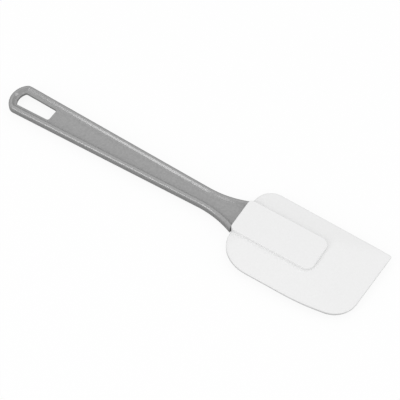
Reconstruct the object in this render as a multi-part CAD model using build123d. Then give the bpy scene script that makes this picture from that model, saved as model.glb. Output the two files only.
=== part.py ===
from build123d import *
import math
import os

# Bowl scraper: a flat ribbed plastic handle whose hidden tongue carries a soft rubber blade.
# All lengths are millimetres. While it is built, X runs from the hanging end to the blade,
# +Y is the side with the straight edge and the sharp corner, and Z = 0 is the middle plane.
# The finished pieces are moved so that the origin is the middle of the underside.

# Whole tool
overall_length = 254.0        # hanging end to the sharp corner of the blade
handle_length = 166.2         # hanging end to the shoulder that the blade's sleeve meets
cut_overrun = 2.0             # how far cutting shapes pass the faces that they cut

# Handle outline
grip_width = 21.2             # across the hanging end, before its corners are rounded
end_bow = 5.4                 # how far the hanging end bows out past its corners
end_corner_radius = 5.0
waist_width = 13.6            # narrowest place
flare_length = 25.2           # waist to shoulder
shoulder_width = 23.0         # flare where the handle meets the blade

# Handle section: an I-beam, with a raised, rounded rim all round both faces
handle_thickness = 6.0
web_thickness = 2.2
rim_width = 3.0
rim_outer_rounding = 1.3
rim_inner_rounding = 1.0
web_foot_bevel = 0.6          # slope that joins the web to the rim

# Hanging slot through the web
slot_start = 5.1              # hanging end of the handle to the slot
slot_length = 25.5
slot_side_margin = 5.2        # handle's side to the slot's side
slot_end_bow = 2.0            # the slot's outer end follows the rounded hanging end
slot_corner_radius = 1.4
slot_edge_bevel = 0.3

# Tongue inside the blade's sleeve
tongue_end_margin = 4.0       # tongue's tip to the sleeve's end
tongue_root_width = 17.6
tongue_tip_width = 16.2
tongue_thickness = 3.2
tongue_tip_corner = 4.5
tongue_edge_bevel = 0.6

# Blade outline, measured from the handle's centre line; shares are of the blade's length
straight_side_reach = 25.6    # to the straight edge, at its root end
straight_side_toe_in = 1.4    # by which the straight edge nears the centre line at its tip
curved_side_reach = 30.8      # to the longer, curved side
end_slant = 2.8               # how much less the end reaches at its curved side
sharp_corner_radius = 1.0
round_corner_share = 0.177    # radius of the large rounded working corner
belly_radius = 140.0          # slow curve that leads the curved side into that corner
belly_start_share = 0.525     # mouth of the sleeve to the start of that curve
plate_setback_share = 0.016   # mouth of the sleeve to the root of the thin blade
straight_shoulder_share = 0.132
straight_shoulder_width = 13.4
curved_shoulder_share = 0.235
curved_shoulder_width = 17.8

# Blade section: thickest round the sleeve and sloping to thin bevelled edges
blade_foot_thickness = 5.0
straight_edge_thickness = 2.0
curved_edge_thickness = 2.3
end_edge_thickness = 1.6
root_edge_thickness = 2.8
root_slope_share = 0.109      # of the blade's length
blade_edge_bevel = 0.6
crease_softness = 0.15        # how gently the slopes meet each other
roof_rows = 36                # points along and across, from which the sloping face is made
roof_columns = 26
roof_tolerance = 0.005

# Sleeve on the blade, and the pocket in it
sleeve_length_share = 0.615   # of the blade's length
sleeve_width = 23.6
sleeve_thickness = 8.6
sleeve_end_corner = 4.8
sleeve_mouth_corner = 3.0
sleeve_top_rounding = 0.9
foot_ledge = 1.0              # flat ledge round the sleeve before the blade slopes away
pocket_clearance = 0.1        # all round the tongue
pocket_end_clearance = 1.0    # past the tongue's tip
seat_gap = 0.1                # handle's shoulder to the sleeve's mouth


def waist_x():
    return handle_length - flare_length


def mouth_x():
    return handle_length + seat_gap


def blade_length():
    return overall_length - mouth_x()


def plate_root_x():
    return mouth_x() + plate_setback_share * blade_length()


def sleeve_end_x():
    return mouth_x() + sleeve_length_share * blade_length()


def side_slope():
    return (grip_width - waist_width) / 2 / waist_x()


def grip_half_width(x):
    return grip_width / 2 - side_slope() * x


def flare_circle():
    """Centre and radius of the flare, which leaves the straight taper without a kink."""
    angle = math.atan(side_slope())
    rise = (shoulder_width - waist_width) / 2
    leaning_rise = flare_length * math.sin(angle) + rise * math.cos(angle)
    radius = (flare_length**2 + rise**2) / (2 * leaning_rise)
    centre_x = waist_x() + radius * math.sin(angle)
    centre_y = waist_width / 2 + radius * math.cos(angle)
    return centre_x, centre_y, radius


def flare_half_width(x):
    centre_x, centre_y, radius = flare_circle()
    return centre_y - math.sqrt(radius**2 - (x - centre_x) ** 2)


def handle_outline():
    """The handle seen from above, run on past its shoulder so that cuts leave it open there."""
    end_x = handle_length + rim_width + cut_overrun
    corner = (end_bow, grip_half_width(end_bow))
    waist = (waist_x(), waist_width / 2)
    flare_middle_x = (waist_x() + end_x) / 2
    flare_middle = (flare_middle_x, flare_half_width(flare_middle_x))
    flare_end = (end_x, flare_half_width(end_x))
    upper_side = Line(corner, waist)
    upper_flare = ThreePointArc(waist, flare_middle, flare_end)
    hanging_end = ThreePointArc((corner[0], -corner[1]), (0, 0), corner)
    sides = [upper_side, upper_flare, mirror(upper_side, Plane.XZ), mirror(upper_flare, Plane.XZ)]
    closing = Line(flare_end, (flare_end[0], -flare_end[1]))
    return make_face(Curve(children=[hanging_end, *sides, closing]).edges())


def make_web_recess(outline):
    """One recess cutter, standing on the web's upper face, with a bevelled foot."""
    floor = offset(outline, -rim_width)
    height = (handle_thickness - web_thickness) / 2 + cut_overrun
    cutter = extrude(Pos(0, 0, web_thickness / 2) * floor, height)
    return chamfer(cutter.faces().sort_by(Axis.Z)[0].edges(), web_foot_bevel)


def make_slot():
    slot_end = slot_start + slot_length
    half_start = grip_half_width(slot_start + slot_end_bow) - slot_side_margin
    half_end = grip_half_width(slot_end) - slot_side_margin
    near_corner = (slot_start + slot_end_bow, -half_start)
    far_corner = (slot_start + slot_end_bow, half_start)
    rounded_end = ThreePointArc(near_corner, (slot_start, 0), far_corner)
    straight = Polyline(far_corner, (slot_end, half_end), (slot_end, -half_end), near_corner)
    face = make_face(Curve(children=[rounded_end, straight]).edges())
    face = fillet(face.vertices(), slot_corner_radius)
    return extrude(face, handle_thickness, both=True)


def make_tongue(clearance=0.0, tip_clearance=0.0):
    """The tongue, or with clearances the space that it needs in the blade."""
    root_x = handle_length
    tip_x = sleeve_end_x() - tongue_end_margin + tip_clearance
    root_half = tongue_root_width / 2 + clearance
    tip_half = tongue_tip_width / 2 + clearance
    corners = [(root_x, -root_half), (tip_x, -tip_half), (tip_x, tip_half), (root_x, root_half)]
    face = make_face(Polyline(*corners, close=True))
    face = fillet(face.vertices().group_by(Axis.X)[-1], tongue_tip_corner)
    solid = extrude(face, tongue_thickness / 2 + clearance, both=True)
    layers = solid.edges().group_by(Axis.Z)
    return chamfer(layers[0].sort_by(Axis.X)[1:] + layers[-1].sort_by(Axis.X)[1:], tongue_edge_bevel)


def make_handle():
    outline = handle_outline()
    rounded = fillet(outline.vertices().group_by(Axis.X)[0], end_corner_radius)
    body = extrude(rounded, handle_thickness / 2, both=True)
    body = fillet(body.edges().group_by(Axis.Z)[0] + body.edges().group_by(Axis.Z)[-1], rim_outer_rounding)
    recess = make_web_recess(rounded)
    body = body - recess - mirror(recess, Plane.XY)
    top_rim = body.faces().sort_by(Axis.Z)[-1].inner_wires()[0].edges()
    bottom_rim = body.faces().sort_by(Axis.Z)[0].inner_wires()[0].edges()
    body = fillet(top_rim + bottom_rim, rim_inner_rounding)
    slot = make_slot()
    slotted = body - slot
    slot_rims = new_edges(body, slot, combined=slotted).filter_by(Axis.Z, reverse=True)
    body = chamfer(slot_rims, slot_edge_bevel)
    body = split(body, bisect_by=Plane.YZ.offset(handle_length), keep=Keep.BOTTOM)
    return body + make_tongue()


def blade_outline():
    """The blade seen from above, walked from its straight side round the end to its root."""
    root_x = plate_root_x()
    end_x = overall_length - end_slant
    straight_shoulder = straight_shoulder_share * blade_length()
    curved_shoulder = curved_shoulder_share * blade_length()
    tip = (overall_length, straight_side_reach - straight_side_toe_in)
    straight_start = (root_x + straight_shoulder, straight_side_reach)
    straight_root = (root_x, straight_side_reach - straight_shoulder_width)
    curved_start = (root_x + curved_shoulder, -curved_side_reach)
    curved_root = (root_x, curved_shoulder_width - curved_side_reach)
    belly_root = (mouth_x() + belly_start_share * blade_length(), -curved_side_reach)
    belly_rise = belly_radius - math.sqrt(belly_radius**2 - (end_x - belly_root[0]) ** 2)
    belly_tip = (end_x, belly_root[1] + belly_rise)
    straight_centre = (straight_start[0], straight_root[1])
    curved_centre = (curved_start[0], curved_root[1])
    edges = [
        EllipticalCenterArc(straight_centre, straight_shoulder, straight_shoulder_width, 90),
        Line(straight_start, tip),
        Line(tip, belly_tip),
        TangentArc(belly_root, belly_tip, tangent=(1, 0)),
        Line(belly_root, curved_start),
        EllipticalCenterArc(curved_centre, curved_shoulder, curved_shoulder_width, 180),
        Line(curved_root, straight_root),
    ]
    face = make_face(edges)
    face = fillet(face.vertices().sort_by_distance(tip)[0], sharp_corner_radius)
    return fillet(face.vertices().sort_by_distance(belly_tip)[0], round_corner_share * blade_length())


def slope_drop(distance, full_distance, edge_thickness):
    """Height lost by a slope after a distance, when it reaches its edge's thickness at the full distance."""
    return distance / full_distance * (blade_foot_thickness - edge_thickness) / 2


def blade_half_thickness(x, y):
    """A hipped roof: flat round the sleeve, sloping to each edge, with softened creases."""
    root_slope = root_slope_share * blade_length()
    root_ledge = plate_root_x() + root_slope
    side_ledge = sleeve_width / 2 + foot_ledge
    end_ledge = sleeve_end_x() + foot_ledge
    straight_run = straight_side_reach - side_ledge
    curved_run = curved_side_reach - side_ledge
    end_run = overall_length - end_ledge
    drops = [
        0,
        slope_drop(y - side_ledge, straight_run, straight_edge_thickness),
        slope_drop(-side_ledge - y, curved_run, curved_edge_thickness),
        slope_drop(x - end_ledge, end_run, end_edge_thickness),
        slope_drop(root_ledge - x, root_slope, root_edge_thickness),
    ]
    blended = sum(math.exp(drop / crease_softness) for drop in drops)
    return blade_foot_thickness / 2 - crease_softness * math.log(blended)


def spaced(first, last, count):
    return [first + (last - first) * step / (count - 1) for step in range(count)]


def make_plate():
    """The thin blade without its sleeve: its outline, cut by the roof surface and its mirror image."""
    x_places = spaced(handle_length - cut_overrun, overall_length + cut_overrun, roof_rows)
    y_places = spaced(-curved_side_reach - cut_overrun, straight_side_reach + cut_overrun, roof_columns)
    points = [[(x, y, blade_half_thickness(x, y)) for y in y_places] for x in x_places]
    roof = Face.make_surface_from_array_of_points(points, tol=roof_tolerance, min_deg=3, max_deg=5)
    above = extrude(roof, 2 * blade_foot_thickness, dir=(0, 0, -1))
    slab = extrude(Pos(0, 0, -blade_foot_thickness) * blade_outline(), 2 * blade_foot_thickness)
    plate = slab & above & mirror(above, Plane.XY)
    upper_rim = plate.faces().sort_by(Axis.Z)[-1].outer_wire().edges()
    lower_rim = plate.faces().sort_by(Axis.Z)[0].outer_wire().edges()
    return chamfer(upper_rim + lower_rim, blade_edge_bevel)


def make_sleeve():
    middle_x = (mouth_x() + sleeve_end_x()) / 2
    sleeve_length = sleeve_end_x() - mouth_x()
    face = Pos(middle_x, 0, -sleeve_thickness / 2) * Rectangle(sleeve_length, sleeve_width)
    face = fillet(face.vertices().group_by(Axis.X)[0], sleeve_mouth_corner)
    face = fillet(face.vertices().group_by(Axis.X)[-1], sleeve_end_corner)
    sleeve = extrude(face, sleeve_thickness)
    layers = sleeve.edges().group_by(Axis.Z)
    return fillet(layers[0] + layers[-1], sleeve_top_rounding)


def make_blade():
    return make_plate() + make_sleeve() - make_tongue(pocket_clearance, pocket_end_clearance)


def on_its_origin(*pieces):
    """The pieces, moved so that the origin is the middle of the underside of them all."""
    box = Compound(list(pieces)).bounding_box()
    shift = Pos(-box.center().X, -box.center().Y, -box.min.Z)
    return [shift * piece for piece in pieces]


if __name__ == "__main__":
    os.makedirs("parts", exist_ok=True)
    handle, blade = on_its_origin(make_handle(), make_blade())
    export_step(handle, "parts/handle.step")
    export_step(blade, "parts/blade.step")
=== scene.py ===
import bpy
import math
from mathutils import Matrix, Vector


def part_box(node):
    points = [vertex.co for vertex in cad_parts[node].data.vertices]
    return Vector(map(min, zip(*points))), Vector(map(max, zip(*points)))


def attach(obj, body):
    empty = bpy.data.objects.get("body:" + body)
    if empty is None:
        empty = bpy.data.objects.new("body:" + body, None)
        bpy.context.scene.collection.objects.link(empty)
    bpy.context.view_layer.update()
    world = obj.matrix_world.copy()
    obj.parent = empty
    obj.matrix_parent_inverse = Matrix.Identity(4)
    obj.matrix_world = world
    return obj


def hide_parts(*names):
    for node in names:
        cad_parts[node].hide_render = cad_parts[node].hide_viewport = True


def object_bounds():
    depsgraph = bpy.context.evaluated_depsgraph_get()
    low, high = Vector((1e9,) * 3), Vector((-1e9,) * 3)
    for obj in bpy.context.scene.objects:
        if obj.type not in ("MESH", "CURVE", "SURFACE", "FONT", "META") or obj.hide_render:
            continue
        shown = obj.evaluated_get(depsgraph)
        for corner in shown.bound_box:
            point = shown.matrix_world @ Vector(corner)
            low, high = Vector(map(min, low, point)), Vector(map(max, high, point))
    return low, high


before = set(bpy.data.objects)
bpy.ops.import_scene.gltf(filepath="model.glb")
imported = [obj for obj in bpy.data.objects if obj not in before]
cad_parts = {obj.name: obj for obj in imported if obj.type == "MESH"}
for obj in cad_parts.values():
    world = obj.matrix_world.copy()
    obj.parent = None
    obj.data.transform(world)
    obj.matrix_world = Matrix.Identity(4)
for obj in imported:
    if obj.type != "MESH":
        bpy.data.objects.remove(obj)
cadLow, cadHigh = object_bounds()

# Bowl scraper: a grey plastic handle with raised rims, and a white rubber blade on its tongue.
# Pieces are modelled in millimetres, with x from the hanging end, y from the handle's middle line
# and z from the middle plane, and are then brought to the frame's metres and place.

mm = 0.001  # in metres
finePlace = 0.02  # how near, in mm, counts as the same place
squareShare = 0.9  # how much of a normal lies along an axis on a face that counts as square to it
smoothAngle = 40.0  # edges sharper than this stay sharp
normalWeight = 80  # how far large faces set the shading of the roundings beside them


# Modelling helpers

def deselectAll():
    if bpy.context.object and bpy.context.object.mode != "OBJECT":
        bpy.ops.object.mode_set(mode="OBJECT")
    bpy.ops.object.select_all(action="DESELECT")


def workOn(piece):
    deselectAll()
    piece.select_set(True)
    bpy.context.view_layer.objects.active = piece


def pick(piece, faces=None, edges=None, points=None):
    # selects the faces, edges or points that pass a test, and leaves the piece in edit mode
    workOn(piece)
    mesh = piece.data
    mesh.vertices.foreach_set("select", [False] * len(mesh.vertices))
    mesh.edges.foreach_set("select", [False] * len(mesh.edges))
    mesh.polygons.foreach_set("select", [False] * len(mesh.polygons))
    if faces:
        for face in mesh.polygons:
            face.select = faces(face.center, face.normal)
    if edges:
        for edge in mesh.edges:
            first, last = (mesh.vertices[index].co for index in edge.vertices)
            edge.select = edges(first, last)
    if points:
        for vertex in mesh.vertices:
            vertex.select = points(vertex)
    bpy.context.tool_settings.mesh_select_mode = (bool(points), bool(edges), bool(faces))
    bpy.ops.object.mode_set(mode="EDIT")


def applyModifier(piece, kind, **settings):
    workOn(piece)
    modifier = piece.modifiers.new(kind.title(), kind)
    for name, value in settings.items():
        setattr(modifier, name, value)
    bpy.ops.object.modifier_apply(modifier=modifier.name)


def mirrorPiece(piece, axes):
    applyModifier(piece, "MIRROR", use_axis=axes, merge_threshold=finePlace)


def combine(piece, other, operation):
    applyModifier(piece, "BOOLEAN", object=other, operation=operation, solver="EXACT")
    bpy.data.objects.remove(other)


def drawOutline(name, start, moves):
    # a chain of edges from one point: ("line", end), ("arc", end, centre, steps) or the same for
    # ("ellipse", ...), a quarter with its axes along x and y
    deselectAll()
    bpy.ops.mesh.primitive_plane_add(size=1, location=(*start, 0))
    outline = bpy.context.object
    outline.name = name
    bpy.ops.object.transform_apply(location=True)
    bpy.context.tool_settings.mesh_select_mode = (True, False, False)
    bpy.ops.object.mode_set(mode="EDIT")
    bpy.ops.mesh.select_all(action="SELECT")
    bpy.ops.mesh.merge(type="CENTER")
    bpy.ops.object.mode_set(mode="OBJECT")
    here = Vector(start)
    for kind, end, *arc in moves:
        end = Vector(end)
        last = len(outline.data.vertices) - 1
        pick(outline, points=lambda vertex: vertex.index == last)
        if kind == "line":
            bpy.ops.mesh.extrude_region_move(TRANSFORM_OT_translate={"value": (*(end - here), 0)})
        else:
            centre, steps = Vector(arc[0]), arc[1]
            clockwise = (here - centre).angle_signed(end - centre)  # spin turns this way too
            bpy.ops.mesh.spin(steps=steps, angle=clockwise, center=(*centre, 0), axis=(0, 0, 1))
        if kind == "ellipse":
            pick(outline, points=lambda vertex: vertex.index > last)
            stretch = (end - centre).length / (here - centre).length
            factors = (stretch, 1, 1) if abs(end.x - centre.x) > finePlace else (1, stretch, 1)
            bpy.ops.transform.resize(value=factors, center_override=(*centre, 0))
        bpy.ops.object.mode_set(mode="OBJECT")
        here = end
    return outline


def fillOutline(outline):
    workOn(outline)
    bpy.ops.object.mode_set(mode="EDIT")
    bpy.ops.mesh.select_all(action="SELECT")
    bpy.ops.mesh.remove_doubles(threshold=finePlace / 4)
    bpy.ops.mesh.edge_face_add()


def raiseFace(outline, height):
    # turns the filled outline into a slab and leaves its top face selected
    bpy.ops.mesh.select_all(action="SELECT")
    bpy.ops.mesh.extrude_region_move(TRANSFORM_OT_translate={"value": (0, 0, height)})
    bpy.ops.mesh.select_all(action="SELECT")
    bpy.ops.mesh.normals_make_consistent(inside=False)
    top = height - finePlace
    pick(outline, faces=lambda centre, normal: normal.z > squareShare and centre.z > top)


def cutPlane(piece, point, normal):
    # cuts off what lies beyond the plane and closes the cut
    workOn(piece)
    bpy.ops.object.mode_set(mode="EDIT")
    bpy.ops.mesh.select_all(action="SELECT")
    direction = Vector(normal).normalized()
    bpy.ops.mesh.bisect(plane_co=point, plane_no=direction, use_fill=True, clear_outer=True)
    bpy.ops.object.mode_set(mode="OBJECT")


def roundingCentre(circleCentre, circleRadius, linePoint, lineDirection, radius, choose):
    # a rounding between a line, on its left, and the inside of a circle: its centre and both ends;
    # choose, min or max, says which of the two along the line
    direction = Vector(lineDirection).normalized()
    inward = Vector((-direction.y, direction.x))
    offset = Vector(linePoint) + inward * radius - Vector(circleCentre)
    along = offset.dot(direction)
    spread = math.sqrt(along**2 - offset.length_squared + (circleRadius - radius) ** 2)
    travel = choose(-along - spread, -along + spread)
    centre = Vector(linePoint) + inward * radius + direction * travel
    onCircle = Vector(circleCentre) + (centre - Vector(circleCentre)).normalized() * circleRadius
    return centre, onCircle, centre - inward * radius


def arcSteps(radius, firstSlope, lastSlope, steps):
    # pairs (inset, rise) along an arc between two slopes in degrees, hollow with a negative radius
    turn = (lastSlope - firstSlope) / steps
    slopes = [math.radians(firstSlope + turn * step) for step in range(steps + 1)]
    points = [(radius * math.sin(slope), radius * math.cos(slope)) for slope in slopes]
    return [(b[0] - a[0], b[1] - a[1]) for a, b in zip(points, points[1:])]


def seat(piece):
    # tidies the mesh and brings it from the modelling millimetres to the frame
    workOn(piece)
    bpy.ops.object.mode_set(mode="EDIT")
    bpy.ops.mesh.select_all(action="SELECT")
    bpy.ops.mesh.remove_doubles(threshold=finePlace / 2)
    bpy.ops.object.mode_set(mode="OBJECT")
    piece.location = (cadLow.x, handleAxisY, middleZ)
    piece.scale = (mm, mm, mm)
    bpy.ops.object.transform_apply(location=True, rotation=True, scale=True)
    bpy.ops.object.mode_set(mode="EDIT")
    bpy.ops.mesh.select_all(action="SELECT")
    bpy.ops.mesh.normals_make_consistent(inside=False)
    bpy.ops.object.mode_set(mode="OBJECT")


def smooth(piece):
    workOn(piece)
    bpy.ops.object.shade_smooth_by_angle(angle=math.radians(smoothAngle))
    applyModifier(piece, "WEIGHTED_NORMAL", keep_sharp=True, weight=normalWeight)


handleLow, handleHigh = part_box("handle")
bladeLow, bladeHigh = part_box("blade")
handleAxisY = (handleLow.y + handleHigh.y) / 2
middleZ = (bladeLow.z + bladeHigh.z) / 2


# Handle

handleSizes = {
    "length": 166.2,
    "gripWidth": 21.2,
    "endBow": 5.4,
    "endCorner": 5.0,
    "waistWidth": 13.6,
    "waistAt": 141.0,
    "shoulderWidth": 23.0,
    "flarePastShoulder": 2.2,
    "straightPastShoulder": 9.0,
    "thickness": 6.0,
    "webThickness": 2.2,
    "outerRounding": 1.9,
    "rimTop": 0.1,
    "innerRounding": 0.7,
    "innerSlope": 50.0,
    "webCove": 1.1,
    "slotStart": 5.1,
    "slotLength": 25.5,
    "slotBow": 2.0,
    "slotMargin": 5.3,
    "slotCorner": 1.4,
    "slotRounding": 0.5,
    "bowSteps": 14,
    "cornerSteps": 12,
    "flareSteps": 20,
    "rimSteps": 8,
    "footSteps": 6,
    "slotCornerSteps": 10,
    "slotRimSteps": 5,
}

tongueSizes = {
    "length": 50.04,
    "rootWidth": 17.6,
    "tipWidth": 16.2,
    "thickness": 3.2,
    "tipCorner": 4.5,
    "tipSteps": 8,
    "bevel": 0.6,
    "bevelSteps": 2,
    "rootOverlap": 0.05,
}


def bowedEnd(endX, bow, halfWidth, corner, slope):
    # half of a rounded end: its bow and its corner, up to a straight tapering side
    cornerY = halfWidth - slope * (endX + bow)
    bowRadius = (cornerY**2 + bow**2) / (2 * bow)
    bowCentre = (endX + bowRadius, 0)
    sidePoint, sideDirection = (0, halfWidth), (-1, slope)
    rounding = roundingCentre(bowCentre, bowRadius, sidePoint, sideDirection, corner, max)
    centre, onBow, onSide = rounding
    bowSteps, cornerSteps = handleSizes["bowSteps"], handleSizes["cornerSteps"]
    return [("arc", onBow, bowCentre, bowSteps), ("arc", onSide, centre, cornerSteps)]


def handleBlank():
    sizes = handleSizes
    slope = (sizes["gripWidth"] - sizes["waistWidth"]) / 2 / sizes["waistAt"]
    waist = Vector((sizes["waistAt"], sizes["waistWidth"] / 2))
    lean = math.atan(slope)
    run = sizes["length"] - waist.x
    rise = sizes["shoulderWidth"] / 2 - waist.y
    flareRadius = (run**2 + rise**2) / (2 * (run * math.sin(lean) + rise * math.cos(lean)))
    flareCentre = waist + flareRadius * Vector((math.sin(lean), math.cos(lean)))
    flareX = sizes["length"] + sizes["flarePastShoulder"]
    flareY = flareCentre.y - math.sqrt(flareRadius**2 - (flareX - flareCentre.x) ** 2)
    endX = flareX + sizes["straightPastShoulder"]
    endY = flareY + (endX - flareX) * (flareX - flareCentre.x) / (flareCentre.y - flareY)
    end = bowedEnd(0, sizes["endBow"], sizes["gripWidth"] / 2, sizes["endCorner"], slope)
    flare = [
        ("line", waist),
        ("arc", (flareX, flareY), flareCentre, sizes["flareSteps"]),
        ("line", (endX, endY)),
        ("line", (endX, 0)),
    ]
    blank = drawOutline("handleBody", (0, 0), end + flare)
    mirrorPiece(blank, (False, True, False))
    fillOutline(blank)
    raiseFace(blank, sizes["thickness"] / 2 - sizes["outerRounding"])
    return blank, slope


def shapeRim(blank):
    # insets the top face along the rim's section: over the bead and down its inner slope to the web
    sizes = handleSizes
    inner, cove, slope = sizes["innerRounding"], sizes["webCove"], sizes["innerSlope"]
    lean = math.radians(slope)
    depth = (sizes["thickness"] - sizes["webThickness"]) / 2
    straightDrop = depth - (inner + cove) * (1 - math.cos(lean))
    section = arcSteps(sizes["outerRounding"], -90, 0, sizes["rimSteps"])
    section += [(sizes["rimTop"], 0)]
    section += arcSteps(inner, 0, slope, sizes["footSteps"])
    section += [(straightDrop / math.tan(lean), -straightDrop)]
    section += arcSteps(-cove, slope, 0, sizes["footSteps"])
    for inset, rise in section:
        bpy.ops.mesh.inset(thickness=inset, depth=rise, use_even_offset=True)


def slotCutter(slope):
    # opens out from the middle plane, so that it leaves the slot with rounded rims
    sizes = handleSizes
    rounding = sizes["slotRounding"]
    halfWidth = sizes["gripWidth"] / 2 - sizes["slotMargin"] + rounding
    corner = sizes["slotCorner"] + rounding
    startX = sizes["slotStart"] - rounding
    endX = sizes["slotStart"] + sizes["slotLength"] + rounding
    cornerCentre = Vector((endX - corner, halfWidth - slope * (endX - corner) - corner))
    sideEnd = cornerCentre + corner * Vector((slope, 1)).normalized()
    moves = bowedEnd(startX, sizes["slotBow"], halfWidth, corner, slope)
    moves += [
        ("line", sideEnd),
        ("arc", (endX, cornerCentre.y), cornerCentre, sizes["slotCornerSteps"]),
        ("line", (endX, 0)),
    ]
    cutter = drawOutline("slotCutter", (startX, 0), moves)
    mirrorPiece(cutter, (False, True, False))
    fillOutline(cutter)
    raiseFace(cutter, sizes["thickness"])
    for inset, rise in arcSteps(-rounding, 0, -90, sizes["slotRimSteps"]):
        bpy.ops.mesh.inset(thickness=inset, depth=rise, use_even_offset=True)
    webTop = sizes["webThickness"] / 2
    bpy.ops.mesh.extrude_region_move(TRANSFORM_OT_translate={"value": (0, 0, webTop - rounding)})
    bpy.ops.mesh.delete(type="ONLY_FACE")
    bpy.ops.mesh.select_all(action="SELECT")
    bpy.ops.transform.translate(value=(0, 0, -sizes["thickness"] - webTop))
    bpy.ops.object.mode_set(mode="OBJECT")
    mirrorPiece(cutter, (False, False, True))
    return cutter


def tongueBlock(name, clearance, endClearance):
    # the tongue, or with clearances the pocket that it goes in
    sizes = tongueSizes
    rootX = handleSizes["length"] - sizes["rootOverlap"]
    tipX = handleSizes["length"] + sizes["length"] + endClearance
    rootHalf = sizes["rootWidth"] / 2 + clearance
    tipHalf = sizes["tipWidth"] / 2 + clearance
    thickness = sizes["thickness"] + 2 * clearance
    deselectAll()
    bpy.ops.mesh.primitive_cube_add(size=1, location=((rootX + tipX) / 2, 0, 0))
    block = bpy.context.object
    block.name = name
    block.scale = (tipX - rootX, 2 * rootHalf, thickness)
    bpy.ops.object.transform_apply(location=True, scale=True)
    pick(block, faces=lambda centre, normal: normal.x > squareShare)
    bpy.ops.transform.resize(value=(1, tipHalf / rootHalf, 1), center_override=(tipX, 0, 0))
    atTip = tipX - finePlace
    pick(block, edges=lambda a, b: a.x > atTip and b.x > atTip and abs(a.z - b.z) > thickness / 2)
    bpy.ops.mesh.bevel(offset=sizes["tipCorner"], segments=sizes["tipSteps"], affect="EDGES")
    pastRoot = rootX + finePlace
    pick(block, edges=lambda a, b: abs(a.z - b.z) < finePlace and max(a.x, b.x) > pastRoot)
    bpy.ops.mesh.bevel(offset=sizes["bevel"], segments=sizes["bevelSteps"], affect="EDGES")
    bpy.ops.object.mode_set(mode="OBJECT")
    return block


def makeHandle():
    sizes = handleSizes
    handle, slope = handleBlank()
    shapeRim(handle)
    pick(handle, faces=lambda centre, normal: normal.z < -squareShare and centre.z < finePlace)
    bpy.ops.mesh.delete(type="ONLY_FACE")
    bpy.ops.object.mode_set(mode="OBJECT")
    mirrorPiece(handle, (False, False, True))
    cutPlane(handle, (sizes["length"], 0, 0), (1, 0, 0))
    combine(handle, slotCutter(slope), "DIFFERENCE")
    combine(handle, tongueBlock("tongue", 0, 0), "UNION")
    seat(handle)
    smooth(handle)
    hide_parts("handle")
    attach(handle, "handle")
    return handle


# Blade

bladeSizes = {
    "mouthX": 166.3,
    "rootX": 167.7,
    "tipX": 254.0,
    "straightReach": 25.6,
    "straightToeIn": 1.4,
    "curvedReach": 30.8,
    "endSlant": 2.8,
    "sharpCorner": 1.05,
    "roundCorner": 15.52,
    "bellyRadius": 140.0,
    "bellyStartX": 212.34,
    "straightShoulder": (11.6, 13.4),
    "curvedShoulder": (20.6, 17.8),
    "footThickness": 5.0,
    "straightEdge": 2.0,
    "curvedEdge": 2.3,
    "endEdge": 1.6,
    "rootEdge": 2.8,
    "rootSlope": 9.56,
    "footLedge": 1.0,
    "creaseSoftness": 0.15,
    "creaseShares": (0.15, 0.5, 0.85),
    "lipWidth": 0.85,
    "lipDrop": 0.45,
    "lipAngle": 50.0,  # edges sharper than this are rounded
    "edgeRounding": 0.3,
    "edgeSteps": 5,
    "bellySteps": 8,
    "roundCornerSteps": 20,
    "sharpCornerSteps": 6,
    "curvedShoulderSteps": 22,
    "straightShoulderSteps": 18,
}

sleeveSizes = {
    "endX": 220.24,
    "width": 23.6,
    "thickness": 8.6,
    "mouthCorner": 3.0,
    "endCorner": 4.8,
    "cornerSteps": 10,
    "topRounding": 0.65,
    "topSteps": 5,
    "pocketClearance": 0.1,
    "pocketEndClearance": 1.0,
}


def bladeBlank():
    sizes = bladeSizes
    root, end = sizes["rootX"], sizes["tipX"] - sizes["endSlant"]
    tip = Vector((sizes["tipX"], sizes["straightReach"] - sizes["straightToeIn"]))
    bellyRadius = sizes["bellyRadius"]
    bellyCentre = Vector((sizes["bellyStartX"], bellyRadius - sizes["curvedReach"]))
    bellyEnd = Vector((end, bellyCentre.y - math.sqrt(bellyRadius**2 - (end - bellyCentre.x) ** 2)))
    rounding = roundingCentre(bellyCentre, bellyRadius, bellyEnd, tip - bellyEnd, sizes["roundCorner"], min)
    cornerCentre, onBelly, onEnd = rounding
    curvedLength, curvedWidth = sizes["curvedShoulder"]
    straightLength, straightWidth = sizes["straightShoulder"]
    curvedCentre = Vector((root + curvedLength, curvedWidth - sizes["curvedReach"]))
    straightCentre = Vector((root + straightLength, sizes["straightReach"] - straightWidth))
    start = (root, curvedCentre.y)
    curvedSide, straightSide = -sizes["curvedReach"], sizes["straightReach"]
    blank = drawOutline("bladeBody", start, [
        ("ellipse", (curvedCentre.x, curvedSide), curvedCentre, sizes["curvedShoulderSteps"]),
        ("line", (bellyCentre.x, curvedSide)),
        ("arc", onBelly, bellyCentre, sizes["bellySteps"]),
        ("arc", onEnd, cornerCentre, sizes["roundCornerSteps"]),
        ("line", tip),
        ("line", (straightCentre.x, straightSide)),
        ("ellipse", (root, straightCentre.y), straightCentre, sizes["straightShoulderSteps"]),
        ("line", start),
    ])
    fillOutline(blank)
    pick(blank, points=lambda vertex: (vertex.co.xy - tip).length < finePlace)
    cornerSteps = sizes["sharpCornerSteps"]
    bpy.ops.mesh.bevel(offset=sizes["sharpCorner"], segments=cornerSteps, affect="VERTICES")
    raiseFace(blank, sizes["footThickness"] / 2)
    return blank


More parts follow.
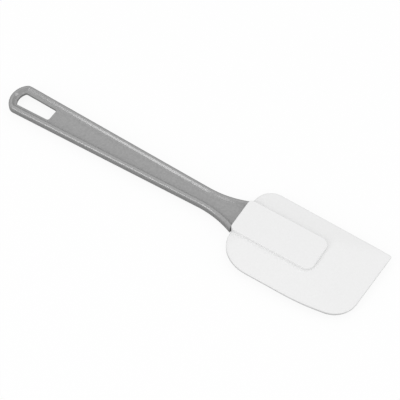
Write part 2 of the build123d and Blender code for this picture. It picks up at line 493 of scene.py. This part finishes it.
def slopeBlade(blank):
    # four slopes round the sleeve's foot, each a drop per mm and the drop still owed at the middle;
    # more cuts between each two neighbours, and between each and the flat, soften the creases
    sizes = bladeSizes
    foot = sizes["footThickness"]
    ledgeY = sleeveSizes["width"] / 2 + sizes["footLedge"]
    ledgeX = sleeveSizes["endX"] + sizes["footLedge"]
    rootX = sizes["rootX"] + sizes["rootSlope"]
    sides = [
        ((0, 1), ledgeY, sizes["straightReach"] - ledgeY, sizes["straightEdge"]),
        ((0, -1), ledgeY, sizes["curvedReach"] - ledgeY, sizes["curvedEdge"]),
        ((1, 0), ledgeX, sizes["tipX"] - ledgeX, sizes["endEdge"]),
        ((-1, 0), -rootX, sizes["rootSlope"], sizes["rootEdge"]),
    ]
    slopes = []
    for direction, ledge, run, edge in sides:
        steepness = (foot - edge) / 2 / run
        slopes.append((Vector(direction) * steepness, ledge * steepness))
    straight, curved, end, root = slopes
    flat = (Vector((0, 0)), 0)
    cuts = list(slopes)
    neighbours = [(straight, end), (curved, end), (straight, root), (curved, root)]
    for first, second in neighbours + [(slope, flat) for slope in slopes]:
        for share in sizes["creaseShares"]:
            rest = 1 - share
            blur = share * math.log(share) + rest * math.log(rest)
            owed = first[1] * share + second[1] * rest + sizes["creaseSoftness"] * blur
            cuts.append((first[0] * share + second[0] * rest, owed))
    for steepness, owed in cuts:
        cutPlane(blank, (0, 0, foot / 2 + owed), (*steepness, 1))
    pick(blank, faces=lambda centre, normal: normal.z < -squareShare and centre.z < finePlace)
    bpy.ops.mesh.delete(type="ONLY_FACE")

    # the cuts leave short edges, over which the lip's rounding would run past the outline
    bpy.ops.mesh.select_all(action="SELECT")
    bpy.ops.mesh.remove_doubles(threshold=3 * finePlace)
    thinLip(blank)
    bpy.ops.object.mode_set(mode="OBJECT")
    mirrorPiece(blank, (False, False, True))


def thinLip(blank):
    # a narrow band round the edge, which drops a little further, and the rounded edge itself
    sizes = bladeSizes
    pick(blank, faces=lambda centre, normal: normal.z > squareShare)
    bpy.ops.mesh.inset(thickness=sizes["lipWidth"], depth=0, use_even_offset=True)
    bpy.ops.object.mode_set(mode="OBJECT")
    onWall = set()
    for face in blank.data.polygons:
        if abs(face.normal.z) < finePlace:
            onWall.update(face.vertices)
    pick(blank, points=lambda vertex: vertex.index in onWall and vertex.co.z > finePlace)
    bpy.ops.transform.translate(value=(0, 0, -sizes["lipDrop"]))
    bpy.context.tool_settings.mesh_select_mode = (False, True, False)
    bpy.ops.mesh.select_all(action="DESELECT")
    bpy.ops.mesh.edges_select_sharp(sharpness=math.radians(sizes["lipAngle"]))
    bpy.ops.mesh.bevel(offset=sizes["edgeRounding"], segments=sizes["edgeSteps"], affect="EDGES")


def sleeveBlock():
    sizes = sleeveSizes
    mouthX, endX = bladeSizes["mouthX"], sizes["endX"]
    half = sizes["thickness"] / 2
    deselectAll()
    bpy.ops.mesh.primitive_cube_add(size=1, location=((mouthX + endX) / 2, 0, 0))
    sleeve = bpy.context.object
    sleeve.scale = (endX - mouthX, sizes["width"], sizes["thickness"])
    bpy.ops.object.transform_apply(location=True, scale=True)
    for cornerX, radius in ((mouthX, sizes["mouthCorner"]), (endX, sizes["endCorner"])):
        pick(sleeve, edges=lambda a, b: abs(a.z - b.z) > half and abs(a.x - cornerX) < finePlace)
        bpy.ops.mesh.bevel(offset=radius, segments=sizes["cornerSteps"], affect="EDGES")
    pick(sleeve, edges=lambda a, b: abs(a.z - b.z) < finePlace)
    bpy.ops.mesh.bevel(offset=sizes["topRounding"], segments=sizes["topSteps"], affect="EDGES")
    bpy.ops.object.mode_set(mode="OBJECT")
    return sleeve


def makeBlade():
    blade = bladeBlank()
    slopeBlade(blade)
    combine(blade, sleeveBlock(), "UNION")
    clearance, endClearance = sleeveSizes["pocketClearance"], sleeveSizes["pocketEndClearance"]
    pocket = tongueBlock("pocket", clearance, endClearance)
    combine(blade, pocket, "DIFFERENCE")
    seat(blade)
    smooth(blade)
    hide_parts("blade")
    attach(blade, "blade")
    return blade


# Materials

handleFinish = {
    "colour": (0.314, 0.314, 0.314, 1),
    "gloss": 1.0,
    "webRoughness": 0.56,
    "rimRoughness": 0.22,
    "webHeight": 1.75,  # mm from the middle plane, below which the inner faces are matt
    "webFacing": 0.35,  # how far up or down those faces look at least
    "rimGrainShare": 0.08,  # the rims keep this much of the web's grain
    "grainPerMetre": 700.0,
    "grainDepth": 0.03,
    "mottle": 0.45,
    "seamDepth": 0.04,
}

bladeFinish = {
    "colour": (0.868, 0.868, 0.868, 1),
    "gloss": 0.5,
    "roughness": 0.45,
    "grainPerMetre": 900.0,
    "grainDepth": 0.012,
    "mottle": 0.07,
    "seamDepth": 0.05,
}

finishDetail = {
    "grainLayers": 3,
    "rubPerMetre": 55.0,
    "rubLayers": 4,
    "rubStrength": 0.12,
    "noiseMiddle": 0.5,
    "seamHalfWidth": 0.12,
}


def newGroup(name, inputs, outputs):
    group = bpy.data.node_groups.new(name, "ShaderNodeTree")
    for direction, sockets in (("INPUT", inputs), ("OUTPUT", outputs)):
        for socketName, kind in sockets:
            group.interface.new_socket(name=socketName, in_out=direction, socket_type="NodeSocket" + kind)
    return group, group.nodes.new("NodeGroupInput"), group.nodes.new("NodeGroupOutput")


def addMath(tree, operation, first, second=0.0):
    # a math node from one or two sockets or numbers
    node = tree.nodes.new("ShaderNodeMath")
    node.operation = operation
    for socket, value in zip(node.inputs, (first, second)):
        if isinstance(value, bpy.types.NodeSocket):
            tree.links.new(value, socket)
        else:
            socket.default_value = value
    return node.outputs[0]


def addNoise(tree, place, scale, layers):
    noise = tree.nodes.new("ShaderNodeTexNoise")
    noise.inputs["Detail"].default_value = layers
    tree.links.new(place, noise.inputs["Vector"])
    if isinstance(scale, bpy.types.NodeSocket):
        tree.links.new(scale, noise.inputs["Scale"])
    else:
        noise.inputs["Scale"].default_value = scale
    return noise.outputs["Fac"]


def mouldedGrainGroup():
    # the fine grain of a spark-finished mould, and faint rubbing from handling
    inputs = [
        ("Place", "Vector"), ("Colour", "Color"), ("Grain Per Metre", "Float"), ("Grain Depth", "Float"),
        ("Mottle", "Float"), ("Roughness", "Float"),
    ]
    outputs = [("Colour", "Color"), ("Roughness", "Float"), ("Height", "Float")]
    group, given, result = newGroup("mouldedGrain", inputs, outputs)
    place, middle = given.outputs["Place"], finishDetail["noiseMiddle"]
    grain = addNoise(group, place, given.outputs["Grain Per Metre"], finishDetail["grainLayers"])
    centred = addMath(group, "SUBTRACT", grain, middle)
    shade = addMath(group, "ADD", addMath(group, "MULTIPLY", centred, given.outputs["Mottle"]), 1.0)
    tint = group.nodes.new("ShaderNodeVectorMath")
    tint.operation = "SCALE"
    group.links.new(given.outputs["Colour"], tint.inputs[0])
    group.links.new(shade, tint.inputs["Scale"])
    rub = addNoise(group, place, finishDetail["rubPerMetre"], finishDetail["rubLayers"])
    rubbed = addMath(group, "MULTIPLY", addMath(group, "SUBTRACT", rub, middle), finishDetail["rubStrength"])
    roughness = addMath(group, "ADD", given.outputs["Roughness"], rubbed)
    height = addMath(group, "MULTIPLY", grain, given.outputs["Grain Depth"])
    group.links.new(tint.outputs[0], result.inputs["Colour"])
    group.links.new(roughness, result.inputs["Roughness"])
    group.links.new(height, result.inputs["Height"])
    return group


def partingSeamGroup():
    # the thin line that the two halves of a mould leave round a piece's middle plane
    group, given, result = newGroup(
        "partingSeam", [("Place", "Vector"), ("Seam Depth", "Float")], [("Height", "Float")]
    )
    split = group.nodes.new("ShaderNodeSeparateXYZ")
    group.links.new(given.outputs["Place"], split.inputs[0])
    away = addMath(group, "ABSOLUTE", addMath(group, "SUBTRACT", split.outputs["Z"], middleZ))
    ridge = group.nodes.new("ShaderNodeMapRange")
    ridge.interpolation_type = "SMOOTHSTEP"
    ridge.inputs["From Max"].default_value = finishDetail["seamHalfWidth"] * mm
    ridge.inputs["To Min"].default_value = 1.0
    ridge.inputs["To Max"].default_value = 0.0
    group.links.new(away, ridge.inputs["Value"])
    height = addMath(group, "MULTIPLY", ridge.outputs[0], given.outputs["Seam Depth"])
    group.links.new(height, result.inputs["Height"])
    return group


def newMaterial(name):
    material = bpy.data.materials.new(name)
    material.use_nodes = True
    tree = material.node_tree
    return material, tree, tree.nodes["Principled BSDF"]


def addGroup(tree, group, place, values):
    node = tree.nodes.new("ShaderNodeGroup")
    node.node_tree = group
    tree.links.new(place, node.inputs["Place"])
    for name, value in values.items():
        if isinstance(value, bpy.types.NodeSocket):
            tree.links.new(value, node.inputs[name])
        else:
            node.inputs[name].default_value = value
    return node


def mouldedMaterial(name, finish, grainGroup, seamGroup, webAndRims=None):
    material, tree, shader = newMaterial(name)
    shader.inputs["Specular IOR Level"].default_value = finish["gloss"]
    place = tree.nodes.new("ShaderNodeTexCoord").outputs["Object"]
    if webAndRims:
        roughness, grainDepth = webAndRims(tree, place)
    else:
        roughness, grainDepth = finish["roughness"], finish["grainDepth"]
    grain = addGroup(tree, grainGroup, place, {
        "Colour": finish["colour"],
        "Grain Per Metre": finish["grainPerMetre"],
        "Grain Depth": grainDepth,
        "Mottle": finish["mottle"],
        "Roughness": roughness,
    })
    seam = addGroup(tree, seamGroup, place, {"Seam Depth": finish["seamDepth"]})
    bump = tree.nodes.new("ShaderNodeBump")
    bump.inputs["Distance"].default_value = mm
    height = addMath(tree, "ADD", grain.outputs["Height"], seam.outputs["Height"])
    tree.links.new(height, bump.inputs["Height"])
    tree.links.new(bump.outputs["Normal"], shader.inputs["Normal"])
    tree.links.new(grain.outputs["Colour"], shader.inputs["Base Color"])
    tree.links.new(grain.outputs["Roughness"], shader.inputs["Roughness"])
    return material


def handleRoughness(tree, place):
    # matt and grained on the web, smooth on the rims and the outer sides
    height = tree.nodes.new("ShaderNodeSeparateXYZ")
    tree.links.new(place, height.inputs[0])
    facing = tree.nodes.new("ShaderNodeSeparateXYZ")
    tree.links.new(tree.nodes.new("ShaderNodeNewGeometry").outputs["Normal"], facing.inputs[0])
    finish = handleFinish
    away = addMath(tree, "ABSOLUTE", addMath(tree, "SUBTRACT", height.outputs["Z"], middleZ))
    low = addMath(tree, "LESS_THAN", away, finish["webHeight"] * mm)
    upOrDown = addMath(tree, "ABSOLUTE", facing.outputs["Z"])
    onWeb = addMath(tree, "MULTIPLY", low, addMath(tree, "GREATER_THAN", upOrDown, finish["webFacing"]))
    moreRough = finish["webRoughness"] - finish["rimRoughness"]
    roughness = addMath(tree, "ADD", addMath(tree, "MULTIPLY", onWeb, moreRough), finish["rimRoughness"])
    rimShare = finish["rimGrainShare"]
    share = addMath(tree, "ADD", addMath(tree, "MULTIPLY", onWeb, 1 - rimShare), rimShare)
    return roughness, addMath(tree, "MULTIPLY", share, finish["grainDepth"])


def giveMaterial(piece, material):
    piece.data.materials.clear()
    piece.data.materials.append(material)


# Floor, light and camera

floorLook = {
    "size": 6.0,
    "bounceShade": 0.38,  # what the floor gives back to the object
    "photoShade": 0.95,
    "cameraGlow": 0.9,  # how much of the floor shows as plain white, without the object's shadow
    "roughness": 0.9,
}

nearLampLook = {  # low and tall, so that it draws the bright lines along the rims
    "width": 0.32,
    "height": 0.9,
    "power": 4.5,
    "distance": 1.6,
    "azimuth": -25.0,
    "elevation": 28.0,
}

flareLampLook = {  # beside the near lamp, so that the far rim's line goes on along the flare
    "width": 0.4,
    "height": 0.25,
    "power": 1.1,
    "distance": 1.6,
    "azimuth": -2.0,
    "elevation": 18.0,
}

endLampLook = {  # past the blade, for the glint on faces that look along the handle
    "width": 0.5,
    "height": 0.8,
    "power": 3.6,
    "distance": 1.6,
    "azimuth": 117.0,
    "elevation": 20.0,
}

surroundingsLook = {
    "zenith": 1.11,
    "horizon": 0.33,
}

cameraLook = {
    "lens": 112.5,
    "distance": 0.738,
    "azimuth": 32.7,
    "elevation": 57.3,
    "target": (0.01339, -0.00009, 0.0043),
    "nearest": 0.05,
    "farthest": 20.0,
}


def outward(look):
    # direction from the object to a camera or lamp; azimuth 0 is on the near side
    azimuth, elevation = math.radians(look["azimuth"]), math.radians(look["elevation"])
    level = math.cos(elevation)
    return Vector((math.sin(azimuth) * level, -math.cos(azimuth) * level, math.sin(elevation)))


def aim(item, direction):
    item.rotation_mode = "QUATERNION"
    item.rotation_quaternion = (-direction).to_track_quat("-Z", "Y")


def makeFloor():
    deselectAll()
    bpy.ops.mesh.primitive_plane_add(size=floorLook["size"], location=(0, 0, 0))
    floor = bpy.context.object
    floor.name = "floor"
    material, tree, shader = newMaterial("floorPaper")
    links = tree.links
    shader.inputs["Roughness"].default_value = floorLook["roughness"]
    shader.inputs["Specular IOR Level"].default_value = 0.0
    isCamera = tree.nodes.new("ShaderNodeLightPath").outputs["Is Camera Ray"]
    shade = tree.nodes.new("ShaderNodeMapRange")
    shade.inputs["To Min"].default_value = floorLook["bounceShade"]
    shade.inputs["To Max"].default_value = floorLook["photoShade"]
    links.new(isCamera, shade.inputs["Value"])
    links.new(shade.outputs[0], shader.inputs["Base Color"])
    glow = tree.nodes.new("ShaderNodeEmission")
    mix = tree.nodes.new("ShaderNodeMixShader")
    links.new(addMath(tree, "MULTIPLY", isCamera, floorLook["cameraGlow"]), mix.inputs["Fac"])
    links.new(shader.outputs[0], mix.inputs[1])
    links.new(glow.outputs[0], mix.inputs[2])
    links.new(mix.outputs[0], tree.nodes["Material Output"].inputs["Surface"])
    giveMaterial(floor, material)


def addLamp(name, look):
    direction = outward(look)
    deselectAll()
    bpy.ops.object.light_add(type="AREA", location=direction * look["distance"])
    lamp = bpy.context.object
    lamp.name = name
    lamp.data.shape = "RECTANGLE"
    lamp.data.size = look["width"]
    lamp.data.size_y = look["height"]
    lamp.data.energy = look["power"]
    aim(lamp, direction)


def makeLight():
    addLamp("nearLamp", nearLampLook)
    addLamp("flareLamp", flareLampLook)
    addLamp("endLamp", endLampLook)

    # the surroundings are bright overhead and dim near the horizon, and white to the camera
    world = bpy.data.worlds.new("studio")
    bpy.context.scene.world = world
    world.use_nodes = True
    tree = world.node_tree
    background = tree.nodes["Background"]
    split = tree.nodes.new("ShaderNodeSeparateXYZ")
    tree.links.new(tree.nodes.new("ShaderNodeTexCoord").outputs["Generated"], split.inputs[0])
    surroundings = tree.nodes.new("ShaderNodeMapRange")
    surroundings.inputs["To Min"].default_value = surroundingsLook["horizon"]
    surroundings.inputs["To Max"].default_value = surroundingsLook["zenith"]
    tree.links.new(split.outputs["Z"], surroundings.inputs["Value"])
    seen = tree.nodes.new("ShaderNodeMapRange")
    seen.inputs["To Max"].default_value = 1.0
    tree.links.new(tree.nodes.new("ShaderNodeLightPath").outputs["Is Camera Ray"], seen.inputs["Value"])
    tree.links.new(surroundings.outputs[0], seen.inputs["To Min"])
    background.inputs["Color"].default_value = (1, 1, 1, 1)
    tree.links.new(seen.outputs[0], background.inputs["Strength"])


def makeCamera():
    direction = outward(cameraLook)
    place = Vector(cameraLook["target"]) + direction * cameraLook["distance"]
    deselectAll()
    bpy.ops.object.camera_add(location=place)
    camera = bpy.context.object
    camera.name = "photoCamera"
    camera.data.lens = cameraLook["lens"]
    camera.data.clip_start = cameraLook["nearest"]
    camera.data.clip_end = cameraLook["farthest"]
    aim(camera, direction)
    bpy.context.scene.camera = camera


bpy.context.scene.view_settings.view_transform = "Standard"
handle = makeHandle()
print("made the handle")
blade = makeBlade()
print("made the blade")
groups = (mouldedGrainGroup(), partingSeamGroup())
giveMaterial(handle, mouldedMaterial("handlePlastic", handleFinish, *groups, webAndRims=handleRoughness))
giveMaterial(blade, mouldedMaterial("bladeRubber", bladeFinish, *groups))
print("gave them their finishes")
makeFloor()
makeLight()
makeCamera()
print("set the stage")
